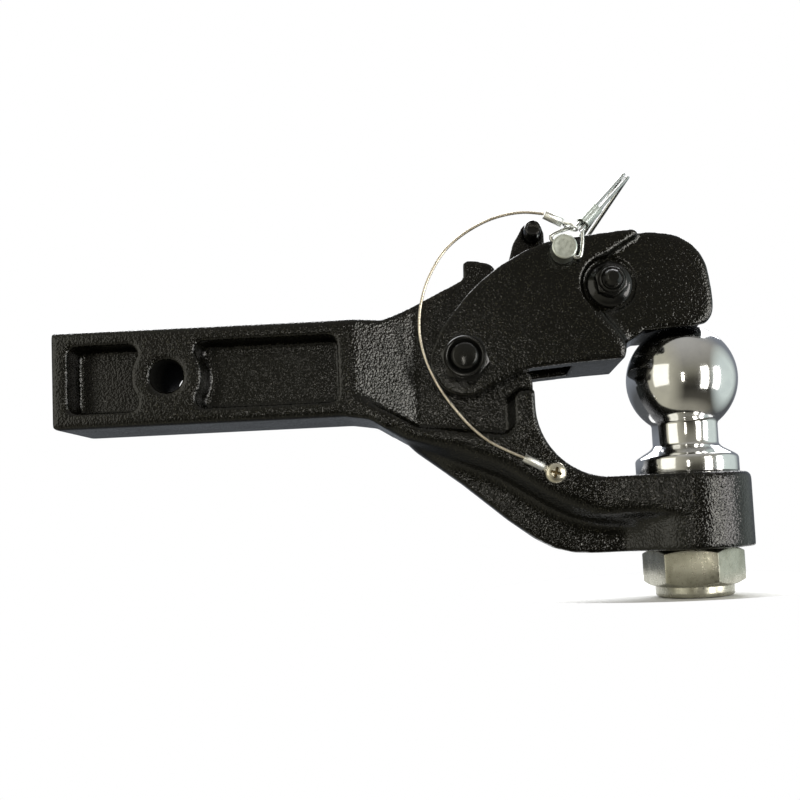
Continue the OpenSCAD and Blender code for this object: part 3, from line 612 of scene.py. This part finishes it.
# Lock lever: a painted casting on the lever bolt between the cheeks, whose tail catches under the horn.
# A plain round bar is pressed through its rear end as a handle, and a coil spring on the bolt returns it.
dress(cast("lock_lever", "lever_casting", 0.0008, 5), "lever", "casting_paint", latch_paint, "lock_lever")
handle = turned("lever_bar", [
    (0.0030, -0.0249), (0.0034, -0.025), (0.0040, -0.0247), (0.0044, -0.0238), (0.0044, 0.0238),
    (0.0040, 0.0247), (0.0034, 0.025), (0.0030, 0.0249), (0.0027, 0.0246),
], 48, (0.192, 0, 0.068), "-Y")
dress(handle, "lever", "black_hardware", bolt_black, "lever_handle")
spring_steel = metal("spring_steel", (0.62, 0.63, 0.62), (0.54, 0.55, 0.54), 0.2, 0.26, 250, 0.000001)
spring = smooth_copy("lever_spring", "return_spring", 60)
dress(spring, "latch", "spring_steel", spring_steel, "lever_spring")

# Lever bolt and nut: a black flanged bolt across the latch, in a round seat cut into each cheek.
# The flanged nut is on the near side, and the bolt's end is tapered.
lever_spot = (0.23, 0, 0.037)
lever_seat = 0.0215
head_spot = (lever_spot[0], lever_seat, lever_spot[2])
nut_spot = (lever_spot[0], -lever_seat, lever_spot[2])
flange = [
    (0.0055, 0.0), (0.0117, 0.0), (0.012, 0.0004), (0.012, 0.0013), (0.0116, 0.0019), (0.0104, 0.0025),
    (0.009, 0.0033), (0.0081, 0.0042),
]
lever_shaft = turned("lever_shaft", [
    (0.005, -0.0225), (0.005, 0.0335), (0.0047, 0.0338), (0.005, 0.0343), (0.0047, 0.0348), (0.005, 0.0353),
    (0.0049, 0.0357), (0.0031, 0.0376), (0.0026, 0.038),
], 48, lever_spot, "-Y")
lever_head = hexed("lever_head", 0.015, 0.001, 0.012, (0, 1), head_spot, "+Y", 8)
head_flange = turned("head_flange", flange, 64, head_spot, "+Y")
lever_bolt = joined("lever_bolt_black", lever_shaft, lever_head, head_flange)
dress(lever_bolt, "latch", "black_hardware", bolt_black, "lever_bolt")
lever_hex = hexed("lever_hex", 0.015, 0.001, 0.0098, (0, 1), nut_spot, "-Y", -20)
lever_crown = turned("lever_crown", [
    (0.0068, 0.0094), (0.0068, 0.0108), (0.0064, 0.0116), (0.0058, 0.012), (0.0053, 0.0119),
    (0.0051, 0.0115),
], 48, nut_spot, "-Y")
nut_flange = turned("nut_flange", flange, 64, nut_spot, "-Y")
lever_nut = joined("lever_flange_nut", lever_hex, lever_crown, nut_flange)
dress(lever_nut, "latch", "black_hardware", bolt_black, "lever_nut")

# Safety pin: a turned steel pin, zinc plated, through both cheeks above the lock lever.
# Its head is cross drilled for the bail's ends, and a groove near its far end takes the bail's loop.
safety_x = 0.2065
safety_z = 0.054
zinc_pin = metal("zinc_pin", (0.74, 0.78, 0.73), (0.64, 0.68, 0.63), 0.3, 0.42, 600, 0.00001)
pin = turned("zinc_safety_pin", [
    (0.0030, -0.0413), (0.00335, -0.0412), (0.00475, -0.0398), (0.00475, -0.0379), (0.0033, -0.0378),
    (0.0033, -0.0343), (0.00475, -0.0342), (0.00475, 0.0266), (0.0060, 0.0266), (0.0064, 0.0268),
    (0.0065, 0.0272), (0.0065, 0.0356), (0.0063, 0.0362), (0.0058, 0.0366), (0.0050, 0.0366),
    (0.0045, 0.0365), (0.0020, 0.0365),
], 64, (safety_x, 0, safety_z), "-Y")
dress(pin, "safety_pin", "zinc", zinc_pin, "safety_pin")

# Bail: spring wire bent to a double loop that hinges in the pin's head and folds over the latch.
# A strip of zinc plated steel is crimped round the two wires near each end.
bail_lean = radians(50.6)
bail_along = Vector((cos(bail_lean), 0, sin(bail_lean)))
bail_across = Vector((sin(bail_lean), 0, -cos(bail_lean)))
bail_y = -0.0321
groove_y = 0.03605
bail_len = 0.063
sleeve_at = 0.015
pair = 0.0014
wide = 0.0088
top = 0.061
low = 0.0049
bail_wire_d = 0.0021


def bail_point(along, across, y):
    """A point of the bail, from distances along and across it and its place across the latch."""
    return Vector((safety_x, y, safety_z)) + along * bail_along + across * bail_across


def lean_y(end, along):
    """How far out the bail is at a distance along it, as it closes towards its tip."""
    return end * (bail_len - along) / (bail_len - sleeve_at)


def flowing(points, steps):
    """A smooth line through points."""
    line = []
    for i in range(len(points) - 1):
        a, b = points[max(i - 1, 0)], points[i]
        c, d = points[i + 1], points[min(i + 2, len(points) - 1)]
        for k in range(steps):
            t = k / steps
            line.append(0.5 * (2 * b + (c - a) * t + (2 * a - 5 * b + 4 * c - d) * t ** 2
                               + (3 * b - a - 3 * c + d) * t ** 3))
    return line + [points[-1]]


def wire_along(name, points, diameter):
    """A round wire along a line of points, made a mesh."""
    bpy.ops.object.select_all(action="DESELECT")
    curve = bpy.data.curves.new(name, "CURVE")
    curve.dimensions = "3D"
    curve.bevel_depth = diameter / 2
    curve.bevel_resolution = 5
    curve.use_fill_caps = True
    spline = curve.splines.new("POLY")
    spline.points.add(len(points) - 1)
    for spot, point in zip(spline.points, points):
        spot.co = (*point, 1)
    piece = bpy.data.objects.new(name, curve)
    bpy.context.scene.collection.objects.link(piece)
    piece.select_set(True)
    bpy.context.view_layer.objects.active = piece
    bpy.ops.object.convert(target="MESH")
    bpy.ops.object.shade_smooth_by_angle(angle=radians(50))
    return bpy.context.object


bail_leg = [
    bail_point(0, 0.0035, bail_y), bail_point(0, wide - 0.0016, bail_y),
    bail_point(0.0008, wide - 0.0002, bail_y), bail_point(0.0026, wide, bail_y),
    bail_point(0.008, wide - 0.003, bail_y),
    bail_point(sleeve_at - 0.0015, pair + 0.0004, bail_y),
    bail_point(sleeve_at + 0.001, pair, lean_y(bail_y, sleeve_at + 0.001)),
    bail_point(top - 0.003, pair, lean_y(bail_y, top - 0.003)), bail_point(top - 0.0006, pair, -0.002),
    bail_point(bail_len, pair, 0), bail_point(top - 0.0006, pair, 0.002),
    bail_point(top - 0.003, pair, lean_y(groove_y, top - 0.003)),
    bail_point(sleeve_at + 0.001, pair, lean_y(groove_y, sleeve_at + 0.001)),
    bail_point(sleeve_at - 0.0015, pair + 0.0004, groove_y), bail_point(low + 0.004, 0.004, groove_y),
    bail_point(low + 0.0016, 0.0044, groove_y), bail_point(low + 0.0004, 0.0036, groove_y),
    bail_point(low, 0.0022, groove_y),
]
pin_axis = Vector((safety_x, 0, safety_z))
bail_back = [point - 2 * (point - pin_axis).dot(bail_across) * bail_across for point in reversed(bail_leg)]
bail_wire = wire_along("bail_wire", flowing(bail_leg + bail_back, 6), bail_wire_d)
dress(bail_wire, "bail", "spring_steel", spring_steel, "pin_bail")
zinc_strip = metal("zinc_strip", (0.6, 0.64, 0.6), (0.5, 0.54, 0.5), 0.4, 0.5, 250, 0.000003)
dress(smooth_copy("near_sleeve", "near_crimp"), "bail", "zinc", zinc_strip, "near_sleeve")
dress(smooth_copy("far_sleeve", "far_crimp"), "bail", "zinc", zinc_strip, "far_sleeve")

# Lanyard: a thin stranded steel cable from the bail to the hook, so that the pin can't be lost.
# Each end is doubled back through a crimped ferrule as an eye, one on the bail and one under the screw.
cable_steel = metal("cable_steel", (0.76, 0.69, 0.58), (0.56, 0.5, 0.41), 0.25, 0.4, 900, 0.000005)
ferrule_steel = metal("ferrule_steel", (0.9, 0.9, 0.88), (0.74, 0.74, 0.72), 0.34, 0.46, 400, 0.000006)
upper = smooth_copy("upper_ferrule", "upper_crimp")
dress(upper, "bail", "cable_steel", ferrule_steel, "upper_ferrule")
lower = smooth_copy("lower_ferrule", "lower_crimp")
dress(lower, "hook", "cable_steel", ferrule_steel, "lower_ferrule")
cable_route = [Vector(point) / 1000 for point in (
    (181, -28, -51.2), (172.4, -28, -47), (163.2, -28, -41.6), (154.4, -28, -33.6), (146.6, -29, -24),
    (139.8, -29, -13.4), (135.4, -30, -4), (132.6, -30, 5), (131.2, -30, 14), (131.4, -30, 22.8),
    (133, -30, 31.6), (136, -30, 40.6), (141, -31, 49.6), (147, -31, 57.4), (156, -32, 64.2),
    (167, -33, 69.6), (177, -34, 72.2), (187, -35, 72.8), (197, -35, 71.5),
)]
cable_line = flowing(cable_route, 24)
cable_d = 0.0015
lay_length = 0.009
strands = 6
around = 24
cable_points = []
cable_faces = []
normal = Vector((0, 1, 0))
travelled = 0.0
for i, point in enumerate(cable_line):
    ahead = (cable_line[min(i + 1, len(cable_line) - 1)] - cable_line[max(i - 1, 0)]).normalized()
    normal = (normal - normal.dot(ahead) * ahead).normalized()
    beside = ahead.cross(normal)
    if i:
        travelled += (point - cable_line[i - 1]).length
    twist = 2 * pi * travelled / lay_length
    for k in range(around):
        angle = 2 * pi * k / around
        reach = cable_d / 2 * (0.84 + 0.16 * abs(cos(strands / 2 * (angle - twist))))
        cable_points.append(point + reach * (cos(angle) * normal + sin(angle) * beside))
    if i:
        for k in range(around):
            a, b = (i - 1) * around + k, (i - 1) * around + (k + 1) % around
            cable_faces.append((a, b, b + around, a + around))
last = (len(cable_line) - 1) * around
cable_faces.append(tuple(range(around - 1, -1, -1)))
cable_faces.append(tuple(range(last, last + around)))
cable_mesh = bpy.data.meshes.new("lanyard_strands")
cable_mesh.from_pydata(cable_points, [], cable_faces)
cable = bpy.data.objects.new("lanyard_strands", cable_mesh)
bpy.context.scene.collection.objects.link(cable)
bpy.ops.object.select_all(action="DESELECT")
cable.select_set(True)
bpy.context.view_layer.objects.active = cable
bpy.ops.object.shade_smooth_by_angle(angle=radians(50))
cable.data.materials.append(cable_steel)
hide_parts("lanyard_cable")
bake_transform(cable)

# Lanyard screw: a nickel plated pan head screw with a cross recess, driven into the hook's side.
# Its head clamps the cable's lower eye.
screw_x = 0.1965
screw_seat = -0.02525
screw_z = -0.0596
recess_size = (0.0058, 0.0042, 0.0014)
recess_y = -0.0302
recess_turn = 0.3
recess_floor = -0.0275
head_top = -0.03
recess_reach = 0.003
screw = turned("nickel_screw", [
    (0.003, -0.0115), (0.003, 0.0013), (0.0052, 0.0015), (0.0055, 0.0018), (0.0055, 0.0027),
    (0.0053, 0.0034), (0.0047, 0.0042), (0.0037, 0.0047), (0.0023, 0.00505), (0.0008, 0.0051),
], 64, (screw_x, screw_seat, screw_z), "-Y")
for quarter in (0, pi / 2):
    bpy.ops.object.select_all(action="DESELECT")
    bpy.ops.mesh.primitive_cube_add(size=1, location=(screw_x, recess_y, screw_z))
    recess = bpy.context.object
    recess.rotation_euler = (0, quarter + recess_turn, 0)
    recess.scale = recess_size
    bpy.ops.object.transform_apply(location=True, rotation=True, scale=True)
    drive = screw.modifiers.new("drive", "BOOLEAN")
    drive.operation = "DIFFERENCE"
    drive.object = recess
    bpy.context.view_layer.objects.active = screw
    bpy.ops.object.modifier_apply(modifier="drive")
    bpy.data.objects.remove(recess)
nickel = metal("nickel_screw", (0.74, 0.7, 0.6), (0.6, 0.56, 0.46), 0.2, 0.32, 900, 0.000006)
dress(screw, "hook", "screw_plate", nickel, "lanyard_screw")
# The faces inside the cross recess get a dark brown nickel: painted shade that darkens the recess.
recess_shade = metal("recess_painted_shade", (0.22, 0.17, 0.09), (0.14, 0.1, 0.05), 0.4, 0.55, 900, 0.000006)
screw.data.materials.append(recess_shade)
for face in screw.data.polygons:
    off_axis = Vector((face.center.x - screw_x, face.center.z - screw_z)).length
    if off_axis < recess_reach and head_top < face.center.y < recess_floor:
        face.material_index = 1
